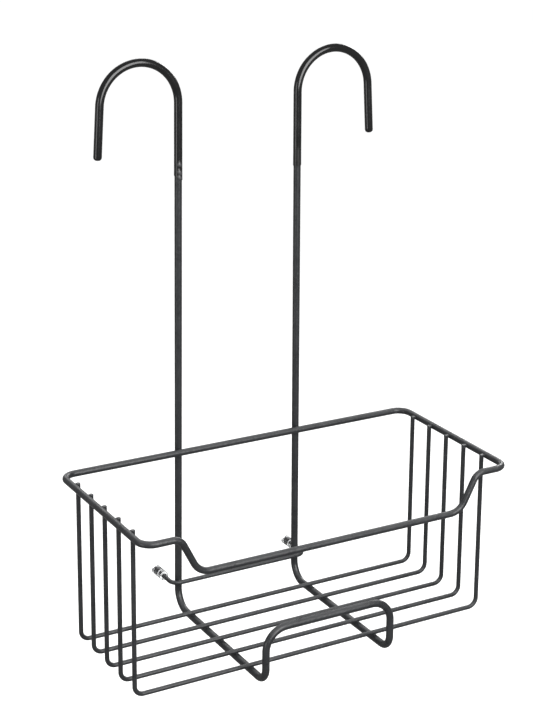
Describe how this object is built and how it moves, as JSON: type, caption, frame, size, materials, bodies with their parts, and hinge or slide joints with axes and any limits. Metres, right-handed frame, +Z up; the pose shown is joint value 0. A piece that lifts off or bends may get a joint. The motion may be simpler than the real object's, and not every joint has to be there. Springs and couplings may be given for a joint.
{
  "type": "shower caddy",
  "caption": "Wire shower caddy: a basket with a low front that hangs from outward hooks with soft sleeves, kept off the wall by soft caps.",
  "frame": {"origin": "midway between the two places where the hooks rest, in the plane of the hooks", "axes": "+Z up, +Y towards the wall behind the caddy, +X to the right seen from the front"},
  "size_m": [0.2846, 0.1635, 0.4051],
  "materials": {
    "coated_wire": "satin black powder coat on steel wire",
    "soft_sleeve": "glossy black soft vinyl",
    "clear_cap": "clear silicone"
  },
  "bodies": {
    "root": {"hanger_wire": "coated_wire", "rim_wire": "coated_wire", "basket_wire_1": "coated_wire", "basket_wire_2": "coated_wire", "basket_wire_3": "coated_wire", "basket_wire_4": "coated_wire", "basket_wire_5": "coated_wire", "spacer_wire": "coated_wire", "hook_sleeve_left": "soft_sleeve", "hook_sleeve_right": "soft_sleeve", "bumper_left": "clear_cap", "bumper_right": "clear_cap"}
  },
  "joints": []
}
